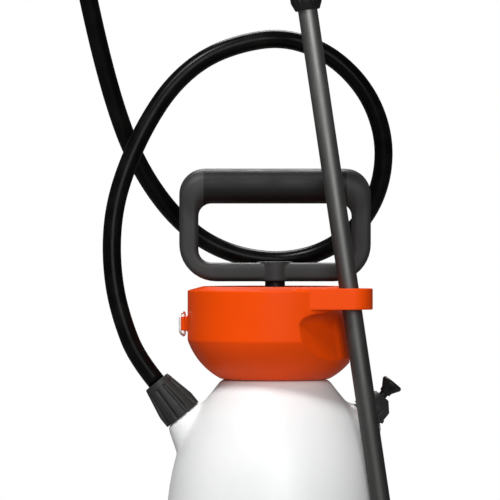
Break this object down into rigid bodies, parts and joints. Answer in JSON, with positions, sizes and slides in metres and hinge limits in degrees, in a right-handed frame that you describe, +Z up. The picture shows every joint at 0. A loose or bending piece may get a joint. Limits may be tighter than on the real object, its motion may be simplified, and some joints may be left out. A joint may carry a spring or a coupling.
{
  "type": "pump sprayer",
  "caption": "Hand-pumped compression sprayer with a translucent tank, filler funnel, loop pump handle, hose and parked trigger lance.",
  "frame": {"origin": "on the floor under the tank's axis, at the centre of the stand's flat base", "axes": "+Z up along the tank; +X to the side that holds the parked lance; -Y to the side the user faces"},
  "size_m": [0.2832, 0.185, 0.8984],
  "materials": {
    "tank_plastic": "milky translucent polyethylene",
    "orange_plastic": "satin moulded",
    "dark_plastic": "fine moulded grain",
    "black_plastic": "satin moulded",
    "white_plastic": "natural polypropylene",
    "rubber": "matte",
    "hose_rubber": "glossy black",
    "lance_metal": "satin grey drawn tube",
    "spring_steel": "bright zinc",
    "brass": "turned"
  },
  "bodies": {
    "tank": {"tank_shell": "tank_plastic", "base_foot": "dark_plastic", "filler_funnel": "orange_plastic", "funnel_nut": "dark_plastic", "pump_cap": "dark_plastic", "cap_gasket": "rubber", "pump_barrel": "white_plastic", "rod_guide": "white_plastic", "rod_seal": "rubber", "valve_cage": "white_plastic", "air_valve": "rubber", "outlet_gasket": "rubber", "outlet_stem": "black_plastic", "tank_hose_nut": "dark_plastic", "dip_tube": "white_plastic", "dip_strainer": "white_plastic", "relief_gasket": "rubber", "relief_valve_body": "black_plastic", "relief_spring": "spring_steel", "hose": "hose_rubber"},
    "piston": {"piston": "white_plastic", "piston_cup": "rubber"},
    "plunger": {"pump_rod": "black_plastic", "bumper": "rubber", "pump_handle": "dark_plastic", "handle_pin": "black_plastic"},
    "relief_valve": {"relief_stem": "black_plastic", "relief_seal": "rubber", "relief_knob": "black_plastic"},
    "strap_ring": {"strap_ring": "spring_steel"},
    "lance": {"lance_tube": "lance_metal", "lance_union_nut": "black_plastic", "lance_oring": "rubber", "valve_body": "black_plastic", "valve_spring": "spring_steel", "grip_front": "dark_plastic", "grip_back": "dark_plastic", "grip_screws": "spring_steel", "trigger_pin": "spring_steel", "handle_filter": "white_plastic", "handle_barb": "black_plastic", "handle_hose_nut": "dark_plastic", "nozzle_body": "black_plastic", "nozzle_seal": "rubber", "swirl_insert": "white_plastic"},
    "trigger": {"trigger": "black_plastic"},
    "valve_stem": {"valve_stem": "brass"},
    "trigger_lock": {"trigger_lock": "orange_plastic"},
    "nozzle_cap": {"nozzle_cap": "orange_plastic"}
  },
  "joints": [
    {"name": "pump_stroke", "type": "slide", "parent": "tank", "child": "piston", "axis": [0, 0, 1], "range_m": [0, 0.15]},
    {"name": "handle_turn", "type": "hinge", "parent": "piston", "child": "plunger", "pos_m": [0, 0, 0.4], "axis": [0, 0, 1], "range_deg": [-18, 12]},
    {"name": "lance_lift", "type": "slide", "parent": "tank", "child": "lance", "axis": [-0.1468, 0, 0.9892], "range_m": [0, 0.045], "deforming": ["hose"]},
    {"name": "trigger_squeeze", "type": "hinge", "parent": "lance", "child": "trigger", "pos_m": [0.03288, -0.042, 0.65221], "axis": [0, -1, 0], "range_deg": [0, 6], "stiffness_Nm_per_rad": 4, "springref_deg": -5.73},
    {"name": "valve_push", "type": "slide", "parent": "lance", "child": "valve_stem", "axis": [-0.9892, 0, -0.1468], "range_m": [0, 0.0045], "deforming": ["valve_spring"]},
    {"name": "trigger_lock_slide", "type": "slide", "parent": "lance", "child": "trigger_lock", "axis": [-0.1468, 0, 0.9892], "range_m": [0, 0.006]},
    {"name": "nozzle_twist", "type": "hinge", "parent": "lance", "child": "nozzle_cap", "pos_m": [0.10759, -0.042, 0.02943], "axis": [-0.1468, 0, 0.9892], "range_deg": [0, 270]},
    {"name": "relief_pull", "type": "slide", "parent": "tank", "child": "relief_valve", "axis": [0.6293, 0, 0.7771], "range_m": [0, 0.0045], "stiffness_N_per_m": 1500, "springref_m": -0.003, "deforming": ["relief_spring"]},
    {"name": "strap_ring_swing", "type": "hinge", "parent": "tank", "child": "strap_ring", "pos_m": [-0.063, 0, 0.3885], "axis": [0, 0, -1], "range_deg": [0, 130]}
  ],
  "couplings": [
    {"joint": "valve_push", "follows": "trigger_squeeze", "m_per_rad": 0.038}
  ]
}
